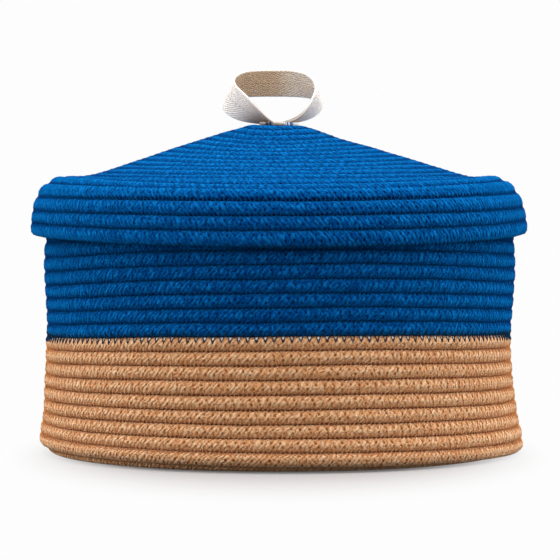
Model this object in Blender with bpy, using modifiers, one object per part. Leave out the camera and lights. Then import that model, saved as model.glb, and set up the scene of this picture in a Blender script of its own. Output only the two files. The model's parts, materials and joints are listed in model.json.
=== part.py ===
"""Lidded round basket of coiled cotton cord, with a loop of twill tape on its lid.

One cord winds flat for the base and on up the wall, brown below and blue above. A second
cord winds from the lid's apex out to its shoulder and down its skirt. The tape loop is sewn
down on the apex and bends there. Metres, +Z up. The origin is the middle of the base, on
the surface that the basket stands on. The front faces -Y. Seen from above, each cord runs
clockwise as it leaves its middle.
"""

import math

import bmesh
import bpy
import numpy as np
from mathutils import Vector
from mathutils.bvhtree import BVHTree

# The cord and how it is wound
CORD_DIAMETER = 0.0076
TURN_GAP = 0.0007
BASE_TURN_GAP = 0.0009
JOIN_GAP = 0.0003
EYE_RADIUS = 0.0070
POINTS_A_TURN = 16
INNER_TURNS = 5

# The wall, by the outer radius of its cord from the floor to the rim
FOOT_RADIUS = 0.1500
LOW_RADIUS = 0.1470
WAIST_RADIUS = 0.1442
BELLY_RADIUS = 0.1464
RIM_TUCK = 0.0034
LOW_HEIGHT_SHARE = 0.18
WAIST_HEIGHT_SHARE = 0.49
BELLY_HEIGHT_SHARE = 0.79
BROWN_TURNS = 8.8125
BLUE_TURNS = 9.375
WALL_START_ANGLE = math.radians(22.5)

# The lid
SEAT_GAP = 0.0003
CROWN_RISE = 0.0348
CROWN_SHARES = ((0.0, 1.0), (0.086, 0.986), (0.215, 0.862), (0.788, 0.190), (0.917, 0.104), (1.0, 0.0))
SKIRT_TURNS = 4
SKIRT_CLEARANCE = 0.00105
SKIRT_DROP_SHARE = 0.855
SKIRT_ROUNDING = 2.4
LID_END_ANGLE = math.radians(90)

# The handle, a loop of flat tape
TAPE_WIDTH = 0.0200
TAPE_THICKNESS = 0.0013
TAPE_GAP = 0.0003
FOOT_LENGTH = 0.0340
LOOP_WIDTH = 0.0570
LOOP_REACH = 0.0392
LOOP_FLARE = 0.0032
LOOP_LEFT = 0.0042
LOOP_LEAN = math.radians(57)
LEANING_REACH = 0.0165
NECK_REACH_SHARE = 0.45

# Materials: linear colour, roughness
BROWN_COTTON = ("brown_cotton_cord", (0.56, 0.30, 0.14), 0.95)
BLUE_COTTON = ("blue_cotton_cord", (0.004, 0.075, 0.33), 0.90)
CREAM_TAPE = ("cream_twill_tape", (0.76, 0.69, 0.58), 0.85)

# Worked out from the sizes above
PITCH = CORD_DIAMETER + TURN_GAP
BASE_PITCH = CORD_DIAMETER + BASE_TURN_GAP
HALF_CORD = CORD_DIAMETER / 2
FLAT_DEPTH = HALF_CORD * math.cos(math.pi / 6)
SPOKE = math.tau / POINTS_A_TURN
WALL_POINTS = round((BROWN_TURNS + BLUE_TURNS) * POINTS_A_TURN)
LEAF_PEAK = 4 / math.sqrt(27)


def climb(turns):
    """Rows climbed after some turns: each turn rises on a quarter sine, one row in all."""
    whole = np.floor(turns)
    return whole + np.sin((turns - whole) * math.pi / 2)


def spread(turns, flat_turns):
    """Rows still to go outward in the base. The last turn goes on a quarter cosine, so that
    it slides in under the wall's first turn and stays a pitch from it all the way, and the
    turns inside it ease towards an even spiral at the eye."""
    whole = np.floor(turns)
    even = 1 - turns + whole
    late = np.cos((turns - whole) * math.pi / 2)
    return -1 - whole + even + (1 + turns / flat_turns) * (late - even)


RIM_CENTRE_HEIGHT = HALF_CORD + PITCH * float(climb(WALL_POINTS / POINTS_A_TURN))
RIM_RADIUS = BELLY_RADIUS - RIM_TUCK
SHOULDER_RADIUS = RIM_RADIUS - FLAT_DEPTH
SKIRT_CENTRE_RADIUS = BELLY_RADIUS + SKIRT_CLEARANCE + FLAT_DEPTH
SKIRT_DROP = SKIRT_DROP_SHARE * SKIRT_TURNS * PITCH


def smooth_line(points, steps=16):
    """A Catmull-Rom curve through the points, as a row of close points."""
    points = np.array(points, float)
    before = 2 * points[:1] - points[1:2]
    after = 2 * points[-1:] - points[-2:-1]
    padded = np.concatenate([before, points, after])
    share = (np.arange(steps) / steps)[:, None]
    pieces = []
    for a, b, c, d in zip(padded, padded[1:], padded[2:], padded[3:]):
        pieces.append(
            b
            + share * (c - a) / 2
            + share**2 * (2 * a - 5 * b + 4 * c - d) / 2
            + share**3 * (3 * b - a - 3 * c + d) / 2
        )
    return np.concatenate([*pieces, points[-1:]])


def lengths_along(points):
    """The distance from the first point to each one, along the line."""
    steps = np.linalg.norm(np.diff(points, axis=0), axis=1)
    return np.concatenate([[0], np.cumsum(steps)])


def wall_line():
    """The cord's centre up the wall, as (radius, height) from the first turn to the rim."""
    rise = RIM_CENTRE_HEIGHT - HALF_CORD
    outer = (
        (FOOT_RADIUS, 0),
        (FOOT_RADIUS, PITCH / rise),
        (LOW_RADIUS, LOW_HEIGHT_SHARE),
        (WAIST_RADIUS, WAIST_HEIGHT_SHARE),
        (BELLY_RADIUS, BELLY_HEIGHT_SHARE),
        (RIM_RADIUS, 1),
    )
    return smooth_line([(radius - FLAT_DEPTH, HALF_CORD + rise * share) for radius, share in outer])


def lid_line():
    """The cord's centre over the lid, from the apex to the shoulder row and round a
    superellipse down the skirt, as (radius, height above the shoulder row)."""
    crown = smooth_line([(SHOULDER_RADIUS * out, CROWN_RISE * up) for out, up in CROWN_SHARES])
    turn = np.linspace(0, math.pi / 2, 40)[1:]
    power = 2 / SKIRT_ROUNDING
    reach = SKIRT_CENTRE_RADIUS - SHOULDER_RADIUS
    skirt = np.column_stack(
        [SHOULDER_RADIUS + reach * np.sin(turn) ** power, SKIRT_DROP * (np.cos(turn) ** power - 1)]
    )
    line = np.concatenate([crown, skirt])
    short = SKIRT_TURNS * PITCH - (lengths_along(line)[-1] - lengths_along(crown)[-1])
    return np.concatenate([line, line[-1:] - [[0, short]]]) if short > 0 else line


def around(turns, radius, height, angle, slope):
    """A cord's points about Z: turns, x, y, z and the slope of its section there."""
    return np.column_stack([turns, radius * np.cos(angle), radius * np.sin(angle), height, slope])


def on_spokes(cord, few):
    """The cord with every spoke's point outside its inner turns, and in them every other."""
    spoke = np.rint(np.arctan2(cord[:, 2], cord[:, 1]) / SPOKE).astype(int)
    return cord[~few | (spoke % 2 == 0)]


def basket_cord():
    """The whole cord, from the eye of the base to the rim. Turns are counted from the foot
    of the wall, so they are below 0 where the cord lies flat."""
    foot_radius = FOOT_RADIUS - FLAT_DEPTH
    flat_turns = (foot_radius - EYE_RADIUS) / BASE_PITCH
    turns = np.arange(-math.floor(flat_turns * POINTS_A_TURN), WALL_POINTS + 1) / POINTS_A_TURN
    line = wall_line()
    height = HALF_CORD + PITCH * climb(np.maximum(turns, 0))
    flat = foot_radius - BASE_PITCH * spread(turns, flat_turns)
    radius = np.where(turns < 0, flat, np.interp(height, line[:, 1], line[:, 0]))
    lean = np.interp(height, line[:, 1], np.gradient(line[:, 0], line[:, 1]))
    slope = np.where(turns < 0, 0, math.pi / 2 - np.arctan(lean))
    cord = around(turns, radius, height, WALL_START_ANGLE - math.tau * turns, slope)
    return on_spokes(cord, turns < turns[0] + INNER_TURNS)


def lid_places(line, length):
    """How far along the line the cord is at each spoke, from the eye to the end. The last
    turn runs on evenly, and each turn before it lies one pitch from the next, measured
    straight across, so that the turns stay as far apart where the line bends."""
    rows = [length[-1] - PITCH * np.arange(POINTS_A_TURN)[::-1] / POINTS_A_TURN]
    while rows[0][0] > EYE_RADIUS + PITCH:
        here = np.column_stack([np.interp(rows[0], length, column) for column in line.T])
        place = rows[0] - PITCH
        for _ in range(6):
            there = np.column_stack([np.interp(place, length, column) for column in line.T])
            place = place - (PITCH - np.linalg.norm(here - there, axis=1))
        rows.insert(0, place)
    return np.concatenate(rows)


def lid_cord():
    """The whole cord, from the eye of the crown to the foot of the skirt, which is at the
    back. Turns are counted to the end, so all are below 0."""
    line = lid_line()
    length = lengths_along(line)
    place = lid_places(line, length)
    turns = np.arange(1 - len(place), 1) / POINTS_A_TURN
    heading = np.gradient(line, length, axis=0)
    slope = np.interp(place, length, np.unwrap(np.arctan2(heading[:, 1], heading[:, 0])))
    radius = np.interp(place, length, line[:, 0])
    height = np.interp(place, length, line[:, 1])
    cord = around(turns, radius, height, LID_END_ANGLE - math.tau * turns, slope)
    return on_spokes(cord, turns < turns[0] + INNER_TURNS)


def stretch(cord, first=None, last=None):
    """The cord between two counts of turns. Each cut is moved to halfway between two
    spokes, where the cord runs straight, so that its two ends face each other squarely,
    and each end stops half the join's gap short of it."""
    turns = cord[:, 0]
    cuts = [
        whole if cut is None else (math.floor(cut * POINTS_A_TURN) + 1 / 2) / POINTS_A_TURN
        for cut, whole in ((first, turns[0]), (last, turns[-1]))
    ]
    ends = np.column_stack([np.interp(cuts, turns, column) for column in cord.T])
    inside = cord[(turns > cuts[0]) & (turns < cuts[1])]
    path = np.concatenate([ends[:1], inside, ends[1:]])[:, 1:]
    for cut, end, inner in ((first, 0, 1), (last, -1, -2)):
        if cut is not None:
            run = path[inner, :3] - path[end, :3]
            path[end, :3] += run * JOIN_GAP / 2 / np.linalg.norm(run)
    return path


def least_gap(obj, path):
    """Least clear distance from the cord's surface to itself. The finished mesh is sorted
    into quarter turns, and each corner, and each middle between corners, is measured to
    the faces of every quarter turn but its own and the two beside it."""
    tree_of, points_of = {}, {}
    rounds = np.floor(np.unwrap(np.arctan2(path[:, 1], path[:, 0])) / -SPOKE * 4 / POINTS_A_TURN)
    mesh = obj.to_mesh()
    corners = np.array([vertex.co for vertex in mesh.vertices])
    near = np.linalg.norm(corners[:, None] - path[None, :, :3], axis=2).argmin(axis=1)
    faces = [tuple(face.vertices) for face in mesh.polygons]
    quarter = np.array([rounds[near[list(face)]].min() for face in faces])
    for number in np.unique(quarter):
        own = [face for face, found in zip(faces, quarter) if found == number]
        tree_of[number] = BVHTree.FromPolygons(corners.tolist(), own)
        ends = np.unique([[face[i - 1], face[i]] for face in own for i in range(len(face))], axis=0)
        points_of[number] = np.concatenate([corners[ends[:, 0]], corners[ends].mean(axis=1)])
    obj.to_mesh_clear()
    return min(
        tree.find_nearest(point)[3]
        for number, tree in tree_of.items()
        for other, points in points_of.items()
        if 2 <= abs(other - number) <= 6
        for point in points
    )


def material(name, colour, roughness):
    made = bpy.data.materials.new(name)
    made.use_nodes = True
    shader = made.node_tree.nodes["Principled BSDF"]
    shader.inputs["Base Color"].default_value = (*colour, 1)
    shader.inputs["Roughness"].default_value = roughness
    shader.inputs["Metallic"].default_value = 0
    made.diffuse_color = (*colour, 1)
    return made


def placed(obj, parent):
    """Links a finished object into the basket's collection, under an empty if it has one."""
    collection.objects.link(obj)
    obj.parent = parent
    return obj


def coil(name, path, finish, parent=None, square=False):
    """A wound cord: one unbroken tube along the path, with its flats facing out of the
    wound surface. A square cord lies flat, pressed out to the cord's full width."""
    curve = bpy.data.curves.new(name, "CURVE")
    curve.dimensions = "3D"
    curve.twist_mode = "Z_UP"
    curve.bevel_depth = HALF_CORD * (math.sqrt(2) if square else 1)
    curve.bevel_resolution = 0 if square else 1
    curve.use_fill_caps = True
    spline = curve.splines.new("POLY")
    spline.points.add(len(path) - 1)
    spline.points.foreach_set("co", np.column_stack([path[:, :3], np.ones(len(path))]).ravel())
    quarter = math.pi / 4 if square else 0
    spline.points.foreach_set("tilt", path[:, 3] + quarter)
    curve.materials.append(finish)
    obj = placed(bpy.data.objects.new(name, curve), parent)
    gap = least_gap(obj, path)
    print(f"{name}: {len(path)} points, least gap between its turns {gap * 1000:.2f} mm")
    return obj


def tape(name, surface, across, along, finish, parent=None):
    """A strip of tape: a flat grid carried onto surface(along, across), then given the
    tape's thickness."""
    bm = bmesh.new()
    bmesh.ops.create_grid(bm, x_segments=along, y_segments=across, size=1)
    for vertex in bm.verts:
        vertex.co = surface(vertex.co.x, vertex.co.y)
    bmesh.ops.recalc_face_normals(bm, faces=bm.faces)
    mesh = bpy.data.meshes.new(name)
    bm.to_mesh(mesh)
    bm.free()
    mesh.materials.append(finish)
    mesh.shade_smooth()
    mesh.set_sharp_from_angle(angle=math.radians(40))
    obj = bpy.data.objects.new(name, mesh)
    shell = obj.modifiers.new("thickness", "SOLIDIFY")
    shell.thickness = TAPE_THICKNESS
    shell.offset = 0
    return placed(obj, parent)


def crown_top(radius):
    """Height of the crown's outer face above the shoulder row, over a radius."""
    line = lid_line()
    crown = line[line[:, 1] >= 0]
    slope = np.gradient(crown[:, 1], crown[:, 0])
    face = crown[:, 1] + FLAT_DEPTH * np.sqrt(1 + slope**2)
    return float(np.interp(radius, crown[:, 0], face))


def foot_surface(along, across):
    """The sewn ends of the tape, which lie on the crown."""
    x, y = along * FOOT_LENGTH / 2, across * TAPE_WIDTH / 2
    return Vector((x, y, crown_top(math.hypot(x, y)) + TAPE_GAP + TAPE_THICKNESS / 2))


def leaning(reach):
    """The loop's lean at some reach from its foot, and the place there as (back, up). It
    leans over within its leaning reach and goes on straight."""
    count = 32
    steps = np.linspace(0, reach, count + 1)
    lean = LOOP_LEAN * np.sin(np.minimum(steps / LEANING_REACH, 1) * math.pi / 2)
    middle = (lean[1:] + lean[:-1]) / 2
    step = reach / count
    return lean[-1], float(np.sin(middle).sum() * step), float(np.cos(middle).sum() * step)


def loop_point(turn, across):
    """A point of the tape: turn runs round the leaf-shaped loop from its foot, and across
    runs from -1 at its back edge, which flares out, to 1 at its front edge."""
    share = (1 - math.cos(turn)) / 2
    lean, back, up = leaning(LOOP_REACH * share)
    half = across * TAPE_WIDTH / 2
    side = math.sin(turn) * math.sqrt(share) / LEAF_PEAK
    x = side * (LOOP_WIDTH / 2 - across * LOOP_FLARE) - LOOP_LEFT
    return Vector((x, back - half * math.cos(lean), up + half * math.sin(lean)))


def arc(first, last):
    """The tape between two turns of the leaf shape, as a surface for the grid."""
    middle, half = (first + last) / 2, (last - first) / 2
    return lambda along, across: loop_point(middle + half * along, across)


def world_tree(obj):
    """A search tree of the object's finished mesh, and its points, in world space."""
    evaluated = obj.evaluated_get(bpy.context.evaluated_depsgraph_get())
    mesh = evaluated.to_mesh()
    points = [evaluated.matrix_world @ vertex.co for vertex in mesh.vertices]
    tree = BVHTree.FromPolygons(points, [tuple(face.vertices) for face in mesh.polygons])
    evaluated.to_mesh_clear()
    return tree, points


def least_drop(upper, lower):
    """How far the upper object can come straight down before it meets the lower one."""
    upper_tree, upper_points = world_tree(upper)
    lower_tree, lower_points = world_tree(lower)
    down, up = Vector((0, 0, -1)), Vector((0, 0, 1))
    falls = [lower_tree.ray_cast(point, down)[3] for point in upper_points]
    falls += [upper_tree.ray_cast(point, up)[3] for point in lower_points]
    return min(fall for fall in falls if fall is not None)


for old in list(bpy.data.objects):
    bpy.data.objects.remove(old)
collection = bpy.data.collections.new("coiled_cord_basket")
bpy.context.scene.collection.children.link(collection)

brown = material(*BROWN_COTTON)
blue = material(*BLUE_COTTON)
cream = material(*CREAM_TAPE)

# The basket: the last flat turn, outside the base, belongs to the wall's brown cord
cord = basket_cord()
base = stretch(cord, last=-1)
coil("base_coil", base, brown, square=True)
coil("lower_wall_coil", stretch(cord, -1, BROWN_TURNS), brown)
rim = coil("upper_wall_coil", stretch(cord, BROWN_TURNS), blue)

# The lid, built well above the rim and then set down on it
lid_height = RIM_CENTRE_HEIGHT + 2 * PITCH
lid = placed(bpy.data.objects.new("lid_lift", None), None)
lid.location = (0, 0, lid_height)
crown = coil("lid_crown_coil", stretch(lid_cord(), last=-SKIRT_TURNS), blue, lid)
skirt = coil("lid_skirt_coil", stretch(lid_cord(), -SKIRT_TURNS), blue, lid)
bpy.context.view_layer.update()
lid_height += SEAT_GAP - min(least_drop(crown, rim), least_drop(skirt, rim))
lid.location = (0, 0, lid_height)

# The handle: sewn ends, the neck that bends, and the loop that swings
tape("handle_feet", foot_surface, 6, 10, cream, lid)
hinge_height = crown_top(0) + 2 * TAPE_GAP + 1.5 * TAPE_THICKNESS
hinge = placed(bpy.data.objects.new("handle_hinge", None), lid)
hinge.location = (0, 0, hinge_height)
neck_turn = math.acos(1 - 2 * NECK_REACH_SHARE)
half_join = JOIN_GAP / ((LOOP_WIDTH + LOOP_REACH) / 2)
tape("handle_neck", arc(half_join - neck_turn, neck_turn - half_join), 4, 24, cream, hinge)
tape("handle_loop", arc(neck_turn + half_join, math.tau - neck_turn - half_join), 4, 36, cream, hinge)

bpy.context.view_layer.update()
print(f"rim's top {(RIM_CENTRE_HEIGHT + HALF_CORD) * 1000:.2f} mm")
print(f"shoulder row {lid_height * 1000:.2f} mm, handle hinge {(lid_height + hinge_height) * 1000:.2f} mm")
print(f"flat under the base, at its middle, through {(base[-2, :3] + base[-3, :3]) / 2 * 1000}")
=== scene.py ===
"""Looks for a round lidded basket of coiled and sewn cotton cord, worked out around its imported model.

The basket's cord winds flat for the base and on up the wall, brown below and blue above, and the
lid's cord winds from the apex down to the skirt. Zigzag threads sew the turns together, and a loop
of twill tape is tacked down on the apex. Metres, +Z up, with the front facing -Y.
"""

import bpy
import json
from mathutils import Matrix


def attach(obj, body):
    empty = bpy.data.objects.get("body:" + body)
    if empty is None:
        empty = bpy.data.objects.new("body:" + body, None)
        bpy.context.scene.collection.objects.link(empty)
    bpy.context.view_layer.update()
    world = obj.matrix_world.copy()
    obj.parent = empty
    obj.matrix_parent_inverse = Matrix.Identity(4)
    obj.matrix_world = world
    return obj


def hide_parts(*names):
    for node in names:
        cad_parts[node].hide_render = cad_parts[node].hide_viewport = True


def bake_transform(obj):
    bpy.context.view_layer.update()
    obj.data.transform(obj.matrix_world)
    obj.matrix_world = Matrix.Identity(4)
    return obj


bl_info = {
    "name": "Coiled Cord Basket",
    "version": (1, 0, 0),
    "blender": (4, 5, 0),
    "location": "3D View > Sidebar > Basket",
    "description": "Winds, sews and finishes a lidded basket of cotton cord",
    "category": "Object",
}

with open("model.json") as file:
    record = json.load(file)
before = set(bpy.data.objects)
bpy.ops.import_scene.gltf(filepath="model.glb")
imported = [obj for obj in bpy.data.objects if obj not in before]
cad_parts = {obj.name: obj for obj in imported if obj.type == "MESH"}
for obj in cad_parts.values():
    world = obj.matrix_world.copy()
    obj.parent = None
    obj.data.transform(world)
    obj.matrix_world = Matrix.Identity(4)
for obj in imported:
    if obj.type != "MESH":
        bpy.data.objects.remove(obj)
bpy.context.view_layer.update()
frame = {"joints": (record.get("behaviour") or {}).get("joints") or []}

import json
import math

import bpy
import numpy as np
from bpy.props import FloatProperty, FloatVectorProperty, PointerProperty
from bpy.types import Operator, Panel, PropertyGroup
from mathutils import Vector

TAU = math.tau
SWING = next(joint for joint in frame["joints"] if joint["name"] == "handle_swing")
CAD_DEEP = 0.00329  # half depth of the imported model's cord
CAD_CUT = 1 / 32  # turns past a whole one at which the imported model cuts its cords
FINE = 200  # points in a turn of the fine tables
PRESSED = 1.01  # half height of a row, over half the way to the next one
ZIGZAG = np.array([1, 0.6, 0.2, -0.2, -0.6, -1, -0.6, -0.2, 0.2, 0.6])  # one stitch's path over a groove
INNER_ZIGZAG = np.array([1, 0.33, -0.33, -1, -0.33, 0.33])
LOOP_START = 0.16  # angle at which the loop of tape leaves its foot


def length(name, description, default):
    """A length in metres, shown to a tenth of a millimetre."""
    return FloatProperty(name=name, description=description, default=default, unit="LENGTH", precision=4)


def number(name, description, default):
    """A plain number, such as a share or a count of turns."""
    return FloatProperty(name=name, description=description, default=default, precision=3)


def angle(name, description, degrees):
    """An angle, given in degrees and kept in radians."""
    return FloatProperty(name=name, description=description, default=math.radians(degrees), subtype="ANGLE")


def colour(name, description, default):
    """A linear colour without alpha."""
    return FloatVectorProperty(
        name=name, description=description, default=default, size=3, subtype="COLOR", min=0, max=1
    )


class CordSettings(PropertyGroup):
    """The cord, how it is wound and how it is sewn"""

    thickness: length("Thickness", "Cord's thickness through the wound surface", 0.0071)
    pitch: length("Row pitch", "Height of one row of the wall", 0.0083)
    base_pitch: length("Base pitch", "Width of one turn of the base", 0.0085)
    free_side: length("Free side", "Half height of the cord where no turn lies beside it", 0.0036)
    squareness: number("Squareness", "Power of the section's superellipse, 2 for round", 2.25)
    wander: length("Wander", "How far the rows stray from an even winding", 0.0003)
    step: length("Step", "Distance between two rings of the mesh", 0.00135)
    stitch: length("Stitch", "Length of one V of the zigzag thread", 0.0050)
    reach: length("Stitch reach", "How far the thread reaches either side of a groove", 0.0029)
    thread: length("Thread", "Thickness of the sewing thread", 0.0004)
    join_reach: length("Join reach", "How far the thread reaches below the blue cord", 0.0037)
    join_thread: length("Join thread", "Thickness of the thread over the top brown row", 0.0006)


class WallSettings(PropertyGroup):
    """The base and the wall of the basket"""

    foot: length("Foot radius", "Outer radius on the floor", 0.1500)
    low: length("Low radius", "Outer radius low on the wall", 0.1470)
    waist: length("Waist radius", "Outer radius at mid height", 0.1442)
    belly: length("Belly radius", "Outer radius under the lid", 0.1464)
    tuck: length("Rim tuck", "How far the rim is drawn in from the belly", 0.0034)
    eye: length("Eye radius", "Radius at which the even winding starts", 0.0070)
    brown_turns: number("Brown turns", "Turns of brown cord in the wall", 8.84375)
    turns: number("Turns", "Turns of cord in the wall", 18.1875)
    start: angle("Start angle", "Where the wall's first turn leaves the floor", 22.5)
    sag: length("Sag", "How far the rows sink at the sides", 0.0078)
    lopsided: length("Lopsided", "How much more the rows sink on the left than on the right", 0.0025)
    tilt: length("Tilt", "How far the rows rise on the right and sink on the left", 0.0013)
    dip: length("Dip", "How far the lowest rows are pressed down", 0.0009)


class LidSettings(PropertyGroup):
    """The crown and the skirt of the lid"""

    height: length("Shoulder height", "Height of the shoulder row's centre", 0.162291)
    rise: length("Rise", "Height of the apex above the shoulder row", 0.0348)
    shoulder: length("Shoulder radius", "Radius of the shoulder row's centre", 0.139709)
    skirt: length("Skirt radius", "Radius of the lowest row's centre", 0.150741)
    drop: length("Drop", "Height of the skirt below the shoulder row", 0.028386)
    rounding: number("Rounding", "Power of the superellipse from shoulder to skirt", 2.4)
    skirt_turns: number("Skirt turns", "Turns of cord in the skirt", 4)
    turns: number("Turns", "Turns of cord in the whole lid", 19.875)
    droop: length("Droop", "How far the skirt hangs below an even winding", 0.0021)
    swell: length("Swell", "How far the crown stands up at its sides", 0.0030)
    hollow: length("Hollow", "How far the crown sinks in front and behind", 0.0012)


class HandleSettings(PropertyGroup):
    """The loop of tape on the lid"""

    width: length("Tape width", "Width of the tape", 0.0200)
    thickness: length("Tape thickness", "Thickness of the tape", 0.0010)
    foot: length("Foot length", "Length of the sewn ends", 0.0240)
    loop: length("Loop width", "Width of the loop", 0.0570)
    ends_thickness: length("Ends thickness", "Thickness of the tape's two ends, one over the other", 0.0020)
    raised: length("Raised", "How far the loop starts above its hinge", 0.0006)
    reach: length("Loop reach", "Length of the loop from its foot", 0.0391)
    flare: length("Flare", "How much wider the loop's back edge is", 0.0032)
    left: length("Left", "How far the loop stands to the left", 0.0042)
    front_right: length("Front to the right", "How far right the loop's front edge stands of its back edge", 0.0016)
    tack: length("Tack", "Distance between the stitches that tack the tape down", 0.0011)
    lean: angle("Lean", "How far the loop leans back", 55)
    leaning: length("Leaning reach", "Length of the foot in which the loop bends back", 0.0165)
    flatness: number("Flatness", "Power of the sine that flattens the far side of the loop, below 1", 0.6)
    left_taper: number("Left taper", "Power that narrows the front edge's left half towards its foot", 0.41)
    right_taper: number("Right taper", "Power that narrows the front edge's right half towards its foot", -0.01)
    back_taper: number("Back taper", "Power that narrows the back edge towards its foot", 0.46)


class ColourSettings(PropertyGroup):
    """The colours of cord, thread, tape and floor"""

    # The deep colours are painted shade between the strands; the pale ones are in part a painted highlight on the
    # high strands
    brown: colour("Brown cord", "Strands of the brown cord", (0.670, 0.300, 0.120))
    brown_pale: colour("Brown cord, pale", "Palest strands of the brown cord", (0.860, 0.560, 0.330))
    brown_deep: colour("Brown cord, deep", "Between the strands of the brown cord", (0.340, 0.074, 0.006))
    blue: colour("Blue cord", "Strands of the blue cord", (0.0002, 0.036, 0.190))
    blue_pale: colour("Blue cord, pale", "Palest strands of the blue cord", (0.003, 0.145, 0.470))
    blue_deep: colour("Blue cord, deep", "Between the strands of the blue cord", (0.0001, 0.003, 0.030))
    brown_thread: colour("Brown thread", "Thread that sews the brown cord", (0.700, 0.310, 0.120))
    blue_thread: colour("Blue thread", "Thread that sews the blue cord", (0.002, 0.080, 0.300))
    join_thread: colour("Join thread", "Thread over the top brown row", (0.010, 0.036, 0.080))
    white_thread: colour("White thread", "Thread that tacks the tape", (0.800, 0.800, 0.800))
    tape: colour("Tape", "Yarn of the tape", (1.000, 0.885, 0.780))
    # Painted shade between the yarns of the tape
    tape_deep: colour("Tape, deep", "Between the yarns of the tape", (0.500, 0.400, 0.330))
    # The inner face's colour is painted shade on the same tape
    inner: colour("Tape, inner face", "Yarn of the tape's shaded inner face", (0.700, 0.540, 0.400))
    floor: colour("Floor", "Floor and backdrop", (0.440, 0.422, 0.416))


class StageSettings(PropertyGroup):
    """The camera and the light"""

    distance: length("Distance", "From the camera to the basket's axis", 1.8)
    eye_height: length("Eye height", "Height of the camera above the floor", 0.164)
    aim_height: length("Aim height", "Height that the camera is aimed at", 0.1062)
    aim_side: length("Aim side", "How far right of the axis the camera is aimed", 0.0006)
    lens: number("Lens", "Focal length for a sensor 36 mm wide", 186)
    backdrop: number("Backdrop", "Brightness of the backdrop and the far floor", 0.982)
    floor_light: number("Floor light", "Share of the floor's brightness that lights the basket", 0.3)
    ambient: number("Ambient", "Light from all round", 0.25)
    overhead: number("Overhead", "Light from above", 1.7)
    beside: number("Beside", "Light from the left and the right", 3.0)
    behind: number("Behind", "How much brighter the light is behind than in front", 0.8)
    ahead: number("Ahead", "Light from above and in front", 1.5)


GROUPS = {
    "basket_cord": CordSettings,
    "basket_wall": WallSettings,
    "basket_lid": LidSettings,
    "basket_handle": HandleSettings,
    "basket_colours": ColourSettings,
    "basket_stage": StageSettings,
}


# Lines and winding

def smooth_line(points, steps=16):
    """A Catmull-Rom curve: each stretch is the cubic that passes its two points and runs, at each,
    along the line between the points beside it."""
    points = np.array(points, float)
    before = 2 * points[:1] - points[1:2]
    after = 2 * points[-1:] - points[-2:-1]
    padded = np.concatenate([before, points, after])
    share = (np.arange(steps) / steps)[:, None]
    a, b, c, d = (padded[i : len(padded) - 3 + i, None] for i in range(4))
    curve = b + share * (c - a) / 2 + share**2 * (2 * a - 5 * b + 4 * c - d) / 2
    curve = curve + share**3 * (3 * b - a - 3 * c + d) / 2
    return np.concatenate([curve.reshape(-1, 2), points[-1:]])


def lengths_along(points):
    """The distance from the first point to each one, along the line."""
    return np.concatenate([[0], np.cumsum(np.linalg.norm(np.diff(points, axis=0), axis=1))])


def smooth_share(value):
    """0 below 0, 1 above 1, and 3 v^2 - 2 v^3 between."""
    value = np.clip(value, 0, 1)
    return value * value * (3 - 2 * value)


def stray(turns, seed):
    """A slow wander between about -1 and 1: four sines of the turns, at rates that no whole turn
    repeats, so that neighbouring rows stray differently."""
    rates = np.array([4.7, 11.3, 26.9, 61.3]) * TAU
    phases = np.random.default_rng(seed).uniform(0, TAU, 4)
    return np.sin(turns[..., None] * rates + phases) @ np.array([0.42, 0.26, 0.18, 0.14])


class Winding:
    """A cord wound round the axis, clockwise as its turns are counted up. place gives its centre
    as (radius, height) at some turns, and side is 1 where the wound surface faces right of the
    way to the next turn, seen with the axis on the left, and -1 where it faces left of it."""

    def __init__(self, settings, first, last, start, side):
        self.cord = settings.basket_cord
        self.first, self.last, self.start, self.side = first, last, start, side

    def angle(self, turns):
        return self.start - TAU * turns

    def free(self, turns):
        """Half height of the section on a side with no neighbour."""
        return np.full(turns.shape, self.cord.free_side)

    def squareness(self, turns):
        """Power of the section's superellipse."""
        return np.full(turns.shape, self.cord.squareness)

    def points(self, turns, flat):
        """Points at (radius, height) pairs turned to the angle of their turns."""
        angle = self.angle(turns)
        return np.stack([flat[..., 0] * np.cos(angle), flat[..., 0] * np.sin(angle), flat[..., 1]], axis=-1)

    def even_turns(self, first, last, step):
        """Turns that are evenly spaced along the cord, and how far along it they are."""
        fine = np.linspace(first, last, int((last - first) * FINE) + 8)
        along = lengths_along(self.points(fine, self.place(fine)))
        even = np.linspace(0, along[-1], max(4, round(along[-1] / step)) + 1)
        return np.interp(even, along, fine), even

    def stitches(self):
        """A table of turns, and the stitches counted up to each along the groove that leads to the
        next turn: the length of the line half a turn on, over one stitch."""
        if not hasattr(self, "table"):
            fine = np.linspace(self.first - 1.5, self.last + 0.5, int((self.last - self.first + 2) * FINE))
            half = np.clip(fine + 0.5, self.first, self.last)
            along = lengths_along(self.points(half, self.place(half)))
            always_rising = along + np.arange(len(along)) * 1e-9
            self.table = fine, always_rising / self.cord.stitch
        return self.table

    def stitch_count(self, turns):
        return np.interp(turns, *self.stitches())

    def section(self, turns):
        """The centre, the direction to the next turn and the outward one, as (radius, height), and
        the half heights towards the next turn and the one before: half the way to each."""
        here, after, before = self.place(turns), self.place(turns + 1), self.place(turns - 1)
        has_after = turns + 1 <= self.last + 1e-6
        has_before = turns - 1 >= self.first - 1e-6
        up = np.where(has_after, np.linalg.norm(after - here, axis=-1) / 2, self.free(turns))
        down = np.where(has_before, np.linalg.norm(here - before, axis=-1) / 2, self.free(turns))
        across = after - before
        across = across / np.linalg.norm(across, axis=-1, keepdims=True)
        outward = self.side * np.stack([across[..., 1], -across[..., 0]], axis=-1)
        return here, across, outward, up, down


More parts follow.
